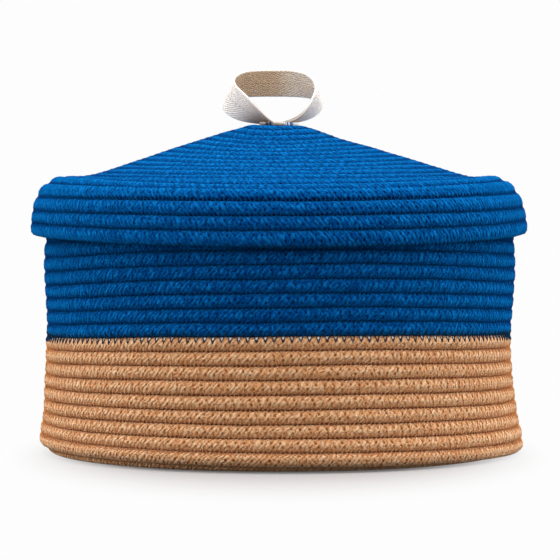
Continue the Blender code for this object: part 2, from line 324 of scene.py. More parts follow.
class BasketWinding(Winding):
    """The cord of base and wall. Turns are counted from the foot of the wall."""

    half = 0.0038  # height of the base cord's centre
    eye_turns = 0.42  # turns inside the radius at which the even winding starts
    sag_grows, tilt_grows = 0.090, 0.025  # heights in which the sag and the tilt come near their full size
    dip_height, dip_width = 0.032, 0.022  # middle and width of the dip's bell curve
    ease_from, ease_over, eased = 0.125, 0.035, 0.45  # where the rows ease under the lid, and by what share

    # How far the wall leans to the right at some heights
    heights = np.array([0, 10, 18, 32, 50, 62, 75, 95, 105, 125]) / 1000
    leans = np.array([1.3, 1.2, 0.8, 0.2, -0.4, -0.6, -0.1, 0.7, 0.6, 0.2]) / 1000

    def __init__(self, settings):
        wall = settings.basket_wall
        self.wall = wall
        self.flat_turns = (wall.foot - CAD_DEEP - wall.eye) / settings.basket_cord.base_pitch
        super().__init__(settings, -self.flat_turns - self.eye_turns, wall.turns, wall.start, 1)
        rise = self.cord.pitch * float(self.climb(np.array(wall.turns)))
        outer = (
            (wall.foot, 0), (wall.foot, self.cord.pitch / rise), (wall.low, 0.18), (wall.waist, 0.49),
            (wall.belly, 0.79), (wall.belly - wall.tuck, 1),
        )
        deep = self.cord.thickness / 2
        self.line = smooth_line([(radius - deep, self.half + rise * share) for radius, share in outer])

    def climb(self, turns):
        """Rows climbed after some turns: each turn rises on a quarter sine, one row in all."""
        whole = np.floor(turns)
        return whole + np.sin((turns - whole) * math.pi / 2)

    def spread(self, turns):
        """Rows still to go outward in the base: the last turn on a quarter cosine, the turns
        inside it ever more evenly."""
        whole = np.floor(turns)
        even = 1 - turns + whole
        late = np.cos((turns - whole) * math.pi / 2)
        return -1 - whole + even + np.maximum(1 + turns / self.flat_turns, 0) * (late - even)

    def sag(self, angle, height):
        """How far the rows sink: most at the sides and more at the left, as a power of the cosine
        and a hyperbolic tangent of the height, less a tilt to the right, plus a dip of the lowest
        rows on a bell curve, all easing again under the lid."""
        side = np.cos(angle)
        above = np.maximum(height - self.half, 0)
        most = (self.wall.sag - self.wall.lopsided * side) * np.abs(side) ** (2.85 + 0.65 * side)
        tilt = self.wall.tilt * np.tanh(3 * side) * np.tanh(above / self.tilt_grows)
        bell = np.exp(-(((height - self.dip_height) / self.dip_width) ** 2))
        dip = self.wall.dip * bell * smooth_share(above / 0.012)
        ease = 1 - self.eased * smooth_share((height - self.ease_from) / self.ease_over)
        return (most * np.tanh(above / self.sag_grows) - tilt + dip) * ease

    def points(self, turns, flat):
        """The wall leans a little to the right at its foot and under the lid, and to the left
        between, by a table of heights."""
        points = super().points(turns, flat)
        points[..., 0] += np.interp(points[..., 2], self.heights, self.leans)
        return points

    def place(self, turns):
        height = self.half + self.cord.pitch * self.climb(np.maximum(turns, 0))
        foot = self.wall.foot - self.cord.thickness / 2
        flat = foot - self.cord.base_pitch * self.spread(turns)
        radius = np.where(turns < 0, flat, np.interp(height, self.line[:, 1], self.line[:, 0]))
        risen = smooth_share(turns / 2)
        height = height + self.cord.wander * stray(turns, 3) * risen
        radius = radius + self.cord.wander * stray(turns, 4) * np.where(turns < 0, 0.6, 1)
        return np.stack([radius, height - self.sag(self.angle(turns), height)], axis=-1)


class LidWinding(Winding):
    """The cord of the lid. Turns are counted to its end at the back of the skirt, so all are
    below 0."""

    eye_turns = 0.62  # turns inside the radius at which the even winding starts
    low_ahead, low_right = 0.0031, 0.0016  # how much lower the skirt hangs in front and at the right
    last_half, last_share = 0.0038, 0.26  # half height of the lowest row, and the share of its hanging in it
    flat_from, flat_over = -4.5, 4  # turn from which the crown's rows are pressed flatter, and in how many

    # The crown from the apex to the shoulder, as shares of the shoulder's radius and of the rise
    crown = ((0, 1), (0.086, 0.986), (0.215, 0.862), (0.788, 0.190), (0.917, 0.104), (1, 0))

    # Turns, and the shares there of the swell at the left and the right, the hollow and the droop
    left = (
        (-20.6, -17, -15.2, -12, -9.8, -7.4, -5.8, -5.1, -4.3, -3.6, -3.2, -2.25, -1.25, -0.25),
        (0, 1.47, 1.5, 1.25, 0.9, 0.55, 0.85, 1.17, 1.75, 1.2, 0.6, 0.35, 0.5, 0.87),
    )
    right = (
        (-20.6, -17, -15.2, -12, -9.8, -7.4, -5.8, -4.75, -4.2, -3.75, -2.75, -1.75, -0.75),
        (0, 0.5, 0.75, 0.75, 0.65, 0.35, 0.55, 1.6, 1.6, 1.1, 0.5, 0.4, 0.7),
    )
    hollow = (
        (-20.6, -19.3, -18.6, -17.8, -17, -16.2, -10, -8.5, -4.6, -4, -3, -2.5),
        (-2, -1.7, -0.9, 0, 0.7, 1, 1, 0.7, 1.0, 0.6, 0.1, 0),
    )
    droop = ((-5.5, -4.5, -3.5, -2.5, -1.5, -0.5), (0, 0.1, 0.33, 0.57, 0.56, 0.60))

    def __init__(self, settings):
        lid = settings.basket_lid
        self.lid = lid
        super().__init__(settings, -lid.turns - self.eye_turns, 0, math.pi / 2, -1)
        line = self.centre_line()
        along = lengths_along(line)
        a_turn, pitch = 16, self.cord.pitch
        rows = [along[-1] - pitch * np.arange(a_turn)[::-1] / a_turn]
        while rows[0][0] > settings.basket_wall.eye + pitch:
            here = np.column_stack([np.interp(rows[0], along, column) for column in line.T])
            place = rows[0] - pitch
            for _ in range(6):
                there = np.column_stack([np.interp(place, along, column) for column in line.T])
                place = place - (pitch - np.linalg.norm(here - there, axis=1))
            rows.insert(0, place)
        rows = [rows[0] - 2 * pitch, rows[0] - pitch, *rows, rows[-1] + pitch]
        self.places = np.concatenate(rows)
        self.counts = (np.arange(len(self.places)) - len(self.places) + 1 + a_turn) / a_turn
        heading = np.gradient(line, along, axis=0)
        normal = np.column_stack([-heading[:, 1], heading[:, 0]])
        self.line = line - normal * (self.cord.thickness / 2 - CAD_DEEP)
        self.along = along

    def centre_line(self):
        """The cord's centre from the apex over the crown, and round a superellipse down the
        skirt, as (radius, height)."""
        lid = self.lid
        crown = smooth_line([(lid.shoulder * out, lid.rise * up) for out, up in self.crown])
        turn = np.linspace(0, math.pi / 2, 40)[1:]
        power = 2 / lid.rounding
        reach = lid.skirt - lid.shoulder
        skirt = np.column_stack(
            [lid.shoulder + reach * np.sin(turn) ** power, lid.drop * (np.cos(turn) ** power - 1)]
        )
        line = np.concatenate([crown, skirt])
        short = lid.skirt_turns * self.cord.pitch - (lengths_along(line)[-1] - lengths_along(crown)[-1])
        if short > 0:
            line = np.concatenate([line, line[-1:] - [[0, short]]])
        return line + [0, lid.height]

    def low(self, angle):
        """How low the skirt hangs: a base amount with one sine round the lid, most in front."""
        return self.lid.droop - self.low_ahead * np.sin(angle) + self.low_right * np.cos(angle)

    def lift(self, turns, angle):
        """How far the rows stand above an even crown: up at the left and the right, each by a
        table over the turns, up at the apex and down in front and behind, less the droop of the
        skirt."""
        side = np.cos(angle)
        tables = (self.left, self.right, self.hollow, self.droop)
        left, right, hollow, droop = (np.interp(turns, *table) for table in tables)
        sides = self.lid.swell * side**2 * (left + (right - left) * (side + 1) / 2)
        return sides - self.lid.hollow * hollow - self.low(angle) * droop

    def free(self, turns):
        """The skirt's lowest row is taller where the skirt hangs low."""
        last = self.last_half + self.last_share * self.low(self.angle(turns))
        return np.where(turns > -2, last, self.cord.free_side)

    def squareness(self, turns):
        """The crown's turns are pressed flatter than the skirt's."""
        return self.cord.squareness + 0.2 + 1.3 * smooth_share((self.flat_from - turns) / self.flat_over)

    def top(self, x, y):
        """Height of the crown's upper side at some places near the apex."""
        radius = np.hypot(x, y)
        along = np.interp(radius, self.line[:, 0], self.along)
        turns = np.interp(along, self.places, self.counts)
        height = np.interp(along, self.along, self.line[:, 1]) + self.lift(turns, np.arctan2(y, x))
        return height + self.cord.thickness / 2

    def place(self, turns):
        along = np.interp(turns, self.counts, self.places)
        inside = np.clip(along, 0, self.along[-1])
        radius = np.interp(inside, self.along, self.line[:, 0]) + np.minimum(along, 0)
        past = np.maximum(along - self.along[-1], 0)
        height = np.interp(inside, self.along, self.line[:, 1]) - past + self.lift(turns, self.angle(turns))
        steady = smooth_share((turns - self.first) / 3)
        radius = radius + self.cord.wander * stray(turns, 5) * steady
        height = height + self.cord.wander * stray(turns, 6) * steady
        return np.stack([radius, height], axis=-1)


# Meshes

def mesh_object(name, points, faces, finish, layers=()):
    """An object at the origin from points and faces, with layers of UV pairs for the face
    corners."""
    mesh = bpy.data.meshes.new(name)
    mesh.from_pydata(points.reshape(-1, 3), [], faces)
    for layer_name, pairs in layers:
        layer = mesh.uv_layers.new(name=layer_name)
        layer.data.foreach_set("uv", pairs.astype(np.float32).ravel())
    mesh.shade_smooth()
    mesh.materials.append(finish)
    obj = bpy.data.objects.new(name, mesh)
    bpy.context.scene.collection.objects.link(obj)
    return obj


def tube_places(rings, sides):
    """The first ring and the first side of each quad between neighbouring rings."""
    return np.meshgrid(np.arange(rings - 1), np.arange(sides), indexing="ij")


def tube_faces(rings, sides):
    """Quads between neighbouring rings of points, as corner numbers."""
    ring, side = tube_places(rings, sides)
    here, after, beside = ring * sides, (ring + 1) * sides, (side + 1) % sides
    return np.stack([here + side, here + beside, after + beside, after + side], -1).reshape(-1, 4)


def faces_out(points, quads):
    """Whether the quads enclose a positive volume, so that they face outward."""
    a, b, c, d = (points.reshape(-1, 3)[quads[:, i]] for i in range(4))
    return (np.einsum("ij,ij->i", a, np.cross(b, c)) + np.einsum("ij,ij->i", a, np.cross(c, d))).sum() >= 0


def tube(name, points, along, finish, counts=None):
    """A closed tube: rings of points, flat faces at its two ends, and UV of metres along and turns
    around. counts gives two numbers of each ring for a second UV."""
    rings, sides = points.shape[:2]
    quads = tube_faces(rings, sides)
    ring, side = tube_places(rings, sides)
    corners = np.stack([ring, ring, ring + 1, ring + 1], -1).reshape(-1, 4)
    v = (np.stack([side, side + 1, side + 1, side], -1) / sides).reshape(-1, 4)
    first = np.arange(sides)[::-1]
    last = (rings - 1) * sides + np.arange(sides)
    if not faces_out(points, quads):
        quads, corners, v = quads[:, ::-1], corners[:, ::-1], v[:, ::-1]
        first, last = first[::-1], last[::-1]
    ends = np.repeat([0, rings - 1], sides)
    pairs = np.stack([along[corners], v], -1).reshape(-1, 2)
    layers = [("along_and_around", np.concatenate([pairs, np.stack([along[ends], 0 * ends + 0.5], -1)]))]
    if counts is not None:
        layers.append(("stitches", counts[np.concatenate([corners.ravel(), ends])]))
    return mesh_object(name, points, [*quads.tolist(), first.tolist(), last.tolist()], finish, layers)


def cord_piece(name, winding, first, last, finish, from_end=False, to_end=False, sides=12, coarse=1):
    """A stretch of wound cord. Each ring is a superellipse: half the cord's thickness outward, and
    towards each neighbouring turn a little over half the way to it, so that the turns meet. A real
    end shrinks over its last rings on a quarter circle."""
    turns, along = winding.even_turns(first, last, winding.cord.step * coarse)
    here, across, out, up, down = winding.section(turns)
    round_ = TAU * (np.arange(sides) / sides - 0.5)
    power = 2 / winding.squareness(turns)[:, None]
    face = np.sign(np.cos(round_)) * np.abs(np.cos(round_)) ** power
    edge = np.sign(np.sin(round_)) * np.abs(np.sin(round_)) ** power
    size = np.ones(len(turns))
    for is_end, gone in ((from_end, along), (to_end, along[-1] - along)):
        if is_end:
            left = np.clip(gone / (winding.cord.thickness / 2), 0, 1)
            size = size * np.sqrt(1 - (1 - left) ** 2).clip(0.12)
    wide = winding.cord.thickness / 2 * size
    tall = np.where(edge > 0, up[:, None], down[:, None]) * size[:, None] * PRESSED
    flat = here[:, None] + out[:, None] * (wide[:, None] * face)[..., None]
    flat = flat + across[:, None] * (tall * edge)[..., None]
    turned = np.broadcast_to(turns[:, None], flat.shape[:2])
    counts = np.stack([winding.stitch_count(turns), winding.stitch_count(turns - 1)], -1)
    return tube(name, winding.points(turned, flat), along, finish, counts)


def zigzag(name, winding, first, last, finish, inside=False, low_reach=None, thread=None, sides=4):
    """The thread over the groove between each turn and the next. Its path runs straight from a
    tip in the next turn, at each whole stitch, to a tip in this one, at each half, and sinks in
    there. Its height follows the section's superellipse, and bridges the groove between."""
    cord = winding.cord
    thread = thread or cord.thread
    swings = INNER_ZIGZAG if inside else ZIGZAG
    a_stitch = len(swings)
    from_stitch = math.ceil(winding.stitch_count(first))
    stitches = math.floor(winding.stitch_count(last)) - from_stitch
    count = stitches * a_stitch
    fine, table = winding.stitches()
    turns = np.interp(from_stitch + np.arange(count) / a_stitch, table, fine)
    loose = np.random.default_rng(round(abs(first) * 100) + sides + 7)
    uneven = 1 + np.repeat(loose.normal(0, 0.08, stitches * 2), a_stitch // 2)
    swing = np.tile(swings, stitches) * uneven
    here, after = winding.place(turns), winding.place(turns + 1)
    way = after - here
    gap = np.linalg.norm(way, axis=-1)
    way = way / gap[:, None]
    out = winding.side * np.stack([way[:, 1], -way[:, 0]], axis=-1) * (-1 if inside else 1)
    half = gap / 2
    bridged = 0.0011  # half width of the groove that the thread lies flat over
    beside = swing * np.where(swing < 0, low_reach or cord.reach, cord.reach)
    from_row = np.clip((half - np.maximum(np.abs(beside), bridged)) / half, 0, 1)
    power = winding.squareness(turns)
    lift = cord.thickness / 2 * (1 - from_row**power) ** (1 / power)
    tip = np.abs(np.tile(swings, stitches)) == 1
    lift = lift + np.where(tip, -0.3 * thread, 0.3 * thread)
    flat = (here + after) / 2 + way * beside[:, None] + out * lift[:, None]
    path = winding.points(turns, flat)
    if name.startswith("base") and not inside:
        path[:, 2] = np.maximum(path[:, 2], thread / 2)
    return thread_piece(name, path, thread, sides, finish)


def thread_piece(name, path, thickness, sides, finish):
    """A thin tube round a path: each ring stands square to the way between the points beside it."""
    way = np.gradient(path, axis=0)
    way = way / np.linalg.norm(way, axis=1, keepdims=True)
    side = np.cross(way, [0, 0, 1])
    flat = np.linalg.norm(side, axis=1, keepdims=True)
    side = side / np.maximum(flat, 1e-6)
    top = np.cross(side, way)
    turn = TAU * (np.arange(sides) + 0.5) / sides
    ring = np.cos(turn)[None, :, None] * side[:, None] + np.sin(turn)[None, :, None] * top[:, None]
    return tube(name, path[:, None] + ring * thickness / 2, lengths_along(path), finish)


# Materials

class Value:
    """A socket of a node tree, which adds its Math nodes when it is used in a sum."""

    def __init__(self, nodes, socket):
        self.nodes, self.socket = nodes, socket

    def math(self, operation, *others):
        return self.nodes.maths(operation, self, *others)

    def __add__(self, other):
        return self.math("ADD", other)

    def __sub__(self, other):
        return self.math("SUBTRACT", other)

    def __rsub__(self, other):
        return self.nodes.maths("SUBTRACT", other, self)

    def __mul__(self, other):
        return self.math("MULTIPLY", other)

    def __truediv__(self, other):
        return self.math("DIVIDE", other)

    __radd__ = __add__
    __rmul__ = __mul__

    def whole(self):
        return self.math("FLOOR")

    def part(self):
        return self.math("FRACT")

    def size(self):
        return self.math("ABSOLUTE")

    def wave(self):
        """The sine of half a turn for each whole number."""
        return (self * math.pi).math("SINE")


class Nodes:
    """A node tree, and the ways to add nodes to it."""

    def __init__(self, tree):
        self.tree = tree

    def node(self, kind, settings, inputs, output=0):
        """A node of some kind: its settings, the values or links of its sockets, and the socket
        that is wanted from it."""
        made = self.tree.nodes.new(kind)
        for name, value in settings.items():
            setattr(made, name, value)
        for name, value in inputs.items():
            if isinstance(value, Value):
                self.tree.links.new(value.socket, made.inputs[name])
            else:
                made.inputs[name].default_value = value
        return Value(self, made.outputs[output])

    def maths(self, operation, *values):
        return self.node("ShaderNodeMath", {"operation": operation}, dict(enumerate(values)))

    def mix(self, share, first, second):
        """A colour between two, by a share."""
        colours = [value if isinstance(value, Value) else (*value, 1) for value in (first, second)]
        return self.node("ShaderNodeMix", {"data_type": "RGBA"}, {0: share, 6: colours[0], 7: colours[1]}, 2)

    def between(self, share, first, second):
        """A number between two, by a share."""
        return self.node("ShaderNodeMix", {"data_type": "FLOAT"}, {0: share, 2: first, 3: second}, 0)

    def smooth(self, value, low, high):
        """0 below low, 1 above high, smooth between."""
        settings = {"interpolation_type": "SMOOTHSTEP"}
        return self.node("ShaderNodeMapRange", settings, {"Value": value, "From Min": low, "From Max": high})

    def parts(self, vector):
        """The three numbers of a vector."""
        first = self.node("ShaderNodeSeparateXYZ", {}, {0: vector})
        return first, *(Value(self, first.socket.node.outputs[i]) for i in (1, 2))

    def pair(self, name):
        """The two numbers of a UV layer."""
        return self.parts(self.node("ShaderNodeUVMap", {"uv_map": name}, {}))[:2]

    def at(self, x, y, z=0.0):
        return self.node("ShaderNodeCombineXYZ", {}, {0: x, 1: y, 2: z})

    def noise(self, where, scale, detail=2.0, roughness=0.5):
        inputs = {"Vector": where, "Scale": scale, "Detail": detail, "Roughness": roughness}
        return self.node("ShaderNodeTexNoise", {}, inputs)

    def chance(self, x, y=0.0):
        """A random number for each whole pair."""
        return self.node("ShaderNodeTexWhiteNoise", {"noise_dimensions": "2D"}, {"Vector": self.at(x, y)})

    def bump(self, height, distance):
        return self.node("ShaderNodeBump", {}, {"Height": height, "Distance": distance, "Strength": 1.0})

    def object_place(self):
        return self.node("ShaderNodeTexCoord", {}, {}, 3)


class Finish(Nodes):
    """A material with a Principled shader."""

    def __init__(self, name, roughness, specular, sheen=0.0, sheen_tint=(1, 1, 1)):
        self.material = bpy.data.materials.new(name)
        self.material.use_nodes = True
        super().__init__(self.material.node_tree)
        self.shader = self.tree.nodes["Principled BSDF"]
        self.set(Roughness=roughness, Specular_IOR_Level=specular)
        self.set(Sheen_Weight=sheen, Sheen_Roughness=0.5, Sheen_Tint=(*sheen_tint, 1))

    def set(self, **values):
        """Sets the shader's own sockets, whose names have spaces for underscores."""
        for name, value in values.items():
            self.shader.inputs[name.replace("_", " ")].default_value = value

    def feed(self, name, value):
        self.tree.links.new(value.socket, self.shader.inputs[name])


def braided_cord(name, plain, pale, deep, sheen, sheen_tint, relief, cord, speckled_from=None):
    """Braided cotton, sewn: two families of strands run round the cord either way as sine ridges,
    and the sign of the two sines' product says which lies on top. The low places between the
    strands take the deep colour, painted shade, and the pale tone falls on strands at random and
    on the high places, in part a painted highlight. Needle pits, painted dark with shade, mark
    where the zigzag thread goes in, half a stitch apart above and below the row's middle. Painted
    shade darkens the grooves between the rows, less near the foot. White specks of the thread from
    inside show between the stitches from one count of them on."""
    f = Finish(name, 0.95, 0.0, sheen, sheen_tint)
    u, v = f.pair("along_and_around")
    above, below = f.pair("stitches")
    slack = f.noise(f.at(u * 170, v * 7), 1.0, 3.0, 0.6) - 0.5
    slant = f.noise(f.at(u * 70, v * 3, 7.0), 1.0, 1.0) - 0.5
    strand_step = 0.0030  # from one strand to the next, along the cord
    right = u / strand_step + v * 6 + slack * 1.5 + slant * 1.2
    left = u / strand_step - v * 6 + slack * 1.3 - slant * 1.0
    wave_right, wave_left = right.wave(), left.wave()
    weave = wave_right * wave_left * 0.30
    crossing = f.chance(right.whole(), left.whole())
    over = wave_right.size() + weave + crossing * 0.35 + 0.12
    under = wave_left.size() * 0.80 - weave
    which = f.smooth(over - under, -0.08, 0.08)
    height = over.math("MAXIMUM", under)
    fibre = f.between(
        which,
        f.noise(f.at(left * 3.4, right * 0.7, 3.0), 1.0, 3.0, 0.6),
        f.noise(f.at(right * 3.4, left * 0.7), 1.0, 3.0, 0.6),
    )
    strand = crossing * 0.6 + f.chance(f.between(which, left.whole(), right.whole())) * 0.4
    fuzz = f.noise(f.object_place(), 1100.0, 3.0, 0.7)
    thick = f.noise(f.object_place(), 260.0, 2.0)

    around = TAU * (cord.thickness + cord.pitch) / 4
    tip = math.asin((cord.pitch / 2 - cord.reach) / (cord.pitch / 2)) / TAU
    # Needle pits are painted dark: painted shade in the holes
    pits = None
    for place, height_of_tip in (((above.part() - 0.5), 0.5 + tip), ((below + 0.5).part() - 0.5, 0.5 - tip)):
        x, y = place * cord.stitch, (v - height_of_tip) * around
        far = (x * x + y * y * 0.6).math("SQRT")
        pit = 1 - f.smooth(far, 0.00025, 0.00095)
        pits = pit if pits is None else pits.math("MAXIMUM", pit)
    pits = pits * f.smooth(thick, 0.30, 0.55)
    # Painted shade in the grooves between the rows, weaker near the foot
    low = f.smooth(f.parts(f.object_place())[2], 0.002, 0.022)
    groove = f.smooth((v - 0.5).size() + slack * 0.12 + (fuzz - 0.5) * 0.08, 0.115, 0.190) * (low * 0.75 + 0.25)

    body = height * 0.34 + fibre * 0.62 + fuzz * 0.50 - pits * 0.55 - groove * 0.42
    # The deep colour in the low places is painted shade; the pale tone, partly at random, falls on the high places
    # as a painted highlight
    shade = f.smooth(body, 0.32, 0.92)
    bright = f.smooth(strand * 0.40 + fibre * 1.2 + fuzz * 0.6 + height * 0.2, 1.05, 1.70)
    tone = f.mix(bright * shade, f.mix(shade, deep, plain), pale)
    if speckled_from is not None:
        x, y = (above.part() - 0.5) * cord.stitch, (v - 0.640) * around
        speck = 1 - f.smooth((x * x + y * y * 0.5).math("SQRT"), 0.0006, 0.0011)
        speck = speck * above.math("GREATER_THAN", speckled_from) * f.smooth(f.chance(above.whole()), 0.1, 0.5)
        tone = f.mix(speck, tone, (0.95, 0.93, 0.90))
    f.feed("Base Color", tone)
    f.feed("Normal", f.bump(height * 0.75 + fibre * 0.35 + fuzz * 0.35 - pits * 0.8, relief))
    return f.material


def twisted_thread(name, plain):
    """Sewing thread: two plies that wind round each other, as slanting bands along the thread."""
    f = Finish(name, 0.9, 0.02)
    u, v = f.pair("along_and_around")
    twist = 0.0009  # length of one slanting band along the thread
    band = (u / twist + v).part() - 0.5
    ply = 1 - band * band * 4
    age = f.noise(f.object_place(), 45.0, 2.0)
    # The deep colour between the plies is painted shade
    deep = tuple(0.45 * part for part in plain)
    f.feed("Base Color", f.mix(f.smooth(ply * 0.6 + age * 0.6, 0.1, 0.8), deep, plain))
    f.feed("Normal", f.bump(ply, 0.00006))
    return f.material


def herringbone_tape(name, colours, width, whole):
    """Twill tape: slanting ridges, mirrored at mid width, each ridge a row of short yarns, with a
    plain raised selvedge along each edge. The low places of the weave take a deeper colour,
    painted shade between the yarns. The inner face, whose UV is a metre on, has painted shade:
    it is browner, and most so on its left. Painted shade darkens the tape towards either end of
    its whole length, where it is sewn down."""
    f = Finish(name, 0.9, 0.05)
    f.set(Subsurface_Weight=0.6, Subsurface_Radius=(1.0, 0.95, 0.85), Subsurface_Scale=0.0035)
    u, across = f.pair("along_and_around")
    inner = across.math("GREATER_THAN", 0.5)
    v = across - inner
    side = v.size()
    ragged = f.noise(f.object_place(), 160.0, 2.0) - 0.5
    slant, ridge_step = 2.5, 0.0034  # the ridges' run along the tape for each metre across, and their distance
    yarn_step, yarn_length = 0.0007, 0.0031
    ridge = ((u + side * slant) / ridge_step + ragged * 0.35).part() - 0.5
    crest = 1 - ridge * ridge * 4
    yarn = (v / yarn_step + u / yarn_length).part() - 0.5
    grain = 1 - yarn * yarn * 4
    middle = f.smooth(side, 0.0001, 0.0007)
    selvedge = f.smooth(side, width / 2 - 0.0010, width / 2 - 0.0005)
    weave = crest * (grain * 0.2 + 0.8) * (middle * 0.4 + 0.6)
    cross = (u / 0.0010).part() - 0.5
    height = f.between(selvedge, weave, 0.75 - cross * cross * 1.2)
    fuzz = f.noise(f.object_place(), 1400.0, 3.0, 0.6)
    stain = f.noise(f.object_place(), 70.0, 2.0)
    right = f.smooth(f.parts(f.object_place())[0] + ragged * 0.006, -0.005, 0.010)
    # Painted shade: the inner face is browner, most so on its left, and less on its selvedges
    brown = inner * (1 - selvedge * 0.7) * (1 - right * 0.65)
    plain = f.mix(brown, colours.tape, colours.inner)
    deep = f.mix(brown, colours.tape_deep, tuple(0.50 * part for part in colours.inner))
    # The weave's low places take the deep colour: painted shade between the yarns
    tone = f.mix(f.smooth(height * 0.8 + fuzz * 0.3 + stain * 0.2, 0.28, 0.88), deep, plain)
    # Painted shade: the tape grows darker towards either sewn end, where the fold shades it
    painted_foot_shade = 1 - f.smooth(u.math("MINIMUM", whole - u) + stain * 0.008, 0.006, 0.029)
    f.feed("Base Color", f.mix(painted_foot_shade * 0.9, tone, (0.26, 0.215, 0.19)))
    f.feed("Normal", f.bump(height + fuzz * 0.4, 0.0004))
    return f.material


def cord_finish(settings, which, speckled_from=None):
    """The finish of one colour of cord, made once."""
    name = f"{which}_cotton_cord"
    if name in bpy.data.materials:
        return bpy.data.materials[name]
    colours = settings.basket_colours
    tones = [getattr(colours, which + kind) for kind in ("", "_pale", "_deep")]
    naps = {"brown": (0.22, (0.65, 0.75, 0.70), 0.0011), "blue": (0.45, (0.01, 0.42, 1.0), 0.0009)}
    return braided_cord(name, *tones, *naps[which], settings.basket_cord, speckled_from)


def thread_finish(settings, which):
    """The finish of one colour of thread, made once."""
    name = f"{which}_thread"
    if name in bpy.data.materials:
        return bpy.data.materials[name]
    return twisted_thread(name, tuple(getattr(settings.basket_colours, name)))


# Operators

def settle(obj, body, slot, *nodes):
    """The piece rides on its body and stands for its CAD nodes, which are hidden. The slot is not used."""
    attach(obj, body)
    if nodes:
        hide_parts(*nodes)


def sew(name, cord, first, last, thread, body, slot):
    """Sews a stretch of a cord's turns together, outside and inside."""
    settle(zigzag(f"{name}_thread", cord, first, last, thread), body, slot)
    inner = zigzag(f"{name}_inner_thread", cord, first, last, thread, inside=True, sides=3)
    settle(inner, body, slot)


class BASKET_OT_wind_basket(Operator):
    """Winds the cord of the base and the wall, brown below and blue above"""

    bl_idname = "basket.wind_basket"
    bl_label = "Wind the basket"

    def execute(self, context):
        s = context.scene
        cord, join = BasketWinding(s), s.basket_wall.brown_turns
        cut = CAD_CUT - 1
        brown = cord_finish(s, "brown", float(cord.stitch_count(join - 1)))
        base = cord_piece("base_cord", cord, cord.first, cut, brown, from_end=True, coarse=1.5)
        settle(base, "basket", "brown_cord", "base_coil")
        settle(cord_piece("lower_wall_cord", cord, cut, join, brown), "basket", "brown_cord", "lower_wall_coil")
        upper = cord_piece("upper_wall_cord", cord, join, cord.last, cord_finish(s, "blue"), to_end=True)
        settle(upper, "basket", "blue_cord", "upper_wall_coil")
        return {"FINISHED"}


class BASKET_OT_wind_lid(Operator):
    """Winds the cord of the lid, from the apex over the crown and down the skirt"""

    bl_idname = "basket.wind_lid"
    bl_label = "Wind the lid"

    def execute(self, context):
        s = context.scene
        cord, blue = LidWinding(s), cord_finish(s, "blue")
        cut = CAD_CUT - s.basket_lid.skirt_turns
        crown = cord_piece("lid_crown_cord", cord, cord.first, cut, blue, from_end=True, coarse=1.2)
        settle(crown, "lid", "blue_cord", "lid_crown_coil")
        skirt = cord_piece("lid_skirt_cord", cord, cut, 0, blue, to_end=True)
        settle(skirt, "lid", "blue_cord", "lid_skirt_coil")
        return {"FINISHED"}


class BASKET_OT_sew_basket(Operator):
    """Sews the turns of the base and the wall together with zigzag thread, inside and out"""

    bl_idname = "basket.sew_basket"
    bl_label = "Sew the basket"

    def execute(self, context):
        s = context.scene
        cord, join = BasketWinding(s), s.basket_wall.brown_turns
        stretches = (
            ("base", cord.first + 0.5, -1, "brown", "brown_cord"),
            ("lower_wall", -1, join - 1, "brown", "brown_cord"),
            ("upper_wall", join, cord.last - 1, "blue", "blue_cord"),
        )
        for name, first, last, which, slot in stretches:
            sew(name, cord, first, last, thread_finish(s, which), "basket", slot)
        seam = zigzag(
            "join_seam_thread", cord, join - 1, join, thread_finish(s, "join"),
            low_reach=cord.cord.join_reach, thread=cord.cord.join_thread,
        )
        settle(seam, "basket", "blue_cord")
        inner = zigzag("join_inner_thread", cord, join - 1, join, thread_finish(s, "blue"), inside=True, sides=3)
        settle(inner, "basket", "blue_cord")
        return {"FINISHED"}


class BASKET_OT_sew_lid(Operator):
    """Sews the turns of the lid together with zigzag thread, inside and out"""

    bl_idname = "basket.sew_lid"
    bl_label = "Sew the lid"

    def execute(self, context):
        s = context.scene
        cord, thread = LidWinding(s), thread_finish(s, "blue")
        for name, first, last in (("crown", cord.first + 0.3, -4), ("skirt", -4, -1)):
            sew(name, cord, first, last, thread, "lid", "blue_cord")
        return {"FINISHED"}


def lean_table(handle, reach):
    """The loop's lean at some reach from its foot, and how far back and up it is there: the lean
    grows on a quarter sine within its leaning reach, and the place is its running sum."""
    steps = np.linspace(0, handle.reach, 400)
    lean = handle.lean * np.sin(np.minimum(steps / handle.leaning, 1) * math.pi / 2)
    middle = (lean[1:] + lean[:-1]) / 2
    step = steps[1]
    back = np.concatenate([[0], np.cumsum(np.sin(middle)) * step])
    up = np.concatenate([[0], np.cumsum(np.cos(middle)) * step])
    return (np.interp(reach, steps, column) for column in (lean, back, up))


def loop_surface(handle, hinge, turn, across):
    """The middle of the tape: a leaf, a power of sin(turn) times a power of its reach, that leans
    back, with its back edge a little wider than its front edge. The product is divided by its
    greatest value, and its second power differs between left, right and back."""
    share = (1 - np.cos(turn)) / 2
    lean, back, up = lean_table(handle, handle.reach * share)
    half = across * handle.width / 2
    front, flat = (across + 1) / 2, handle.flatness
    front_taper = np.where(np.sin(turn) > 0, handle.right_taper, handle.left_taper)
    taper = handle.back_taper + (front_taper - handle.back_taper) * front
    peak = (flat + 2 * taper) / (2 * flat + 2 * taper)
    most = 2**flat * peak ** (flat / 2 + taper) * (1 - peak) ** (flat / 2)
    side = np.sign(np.sin(turn)) * np.abs(np.sin(turn)) ** flat * share**taper / most
    x = side * (handle.loop / 2 - across * handle.flare) - handle.left + handle.front_right * front
    up = up + handle.raised + half * np.sin(lean)
    return np.stack([x, back - half * np.cos(lean), up], -1) + np.array(hinge)


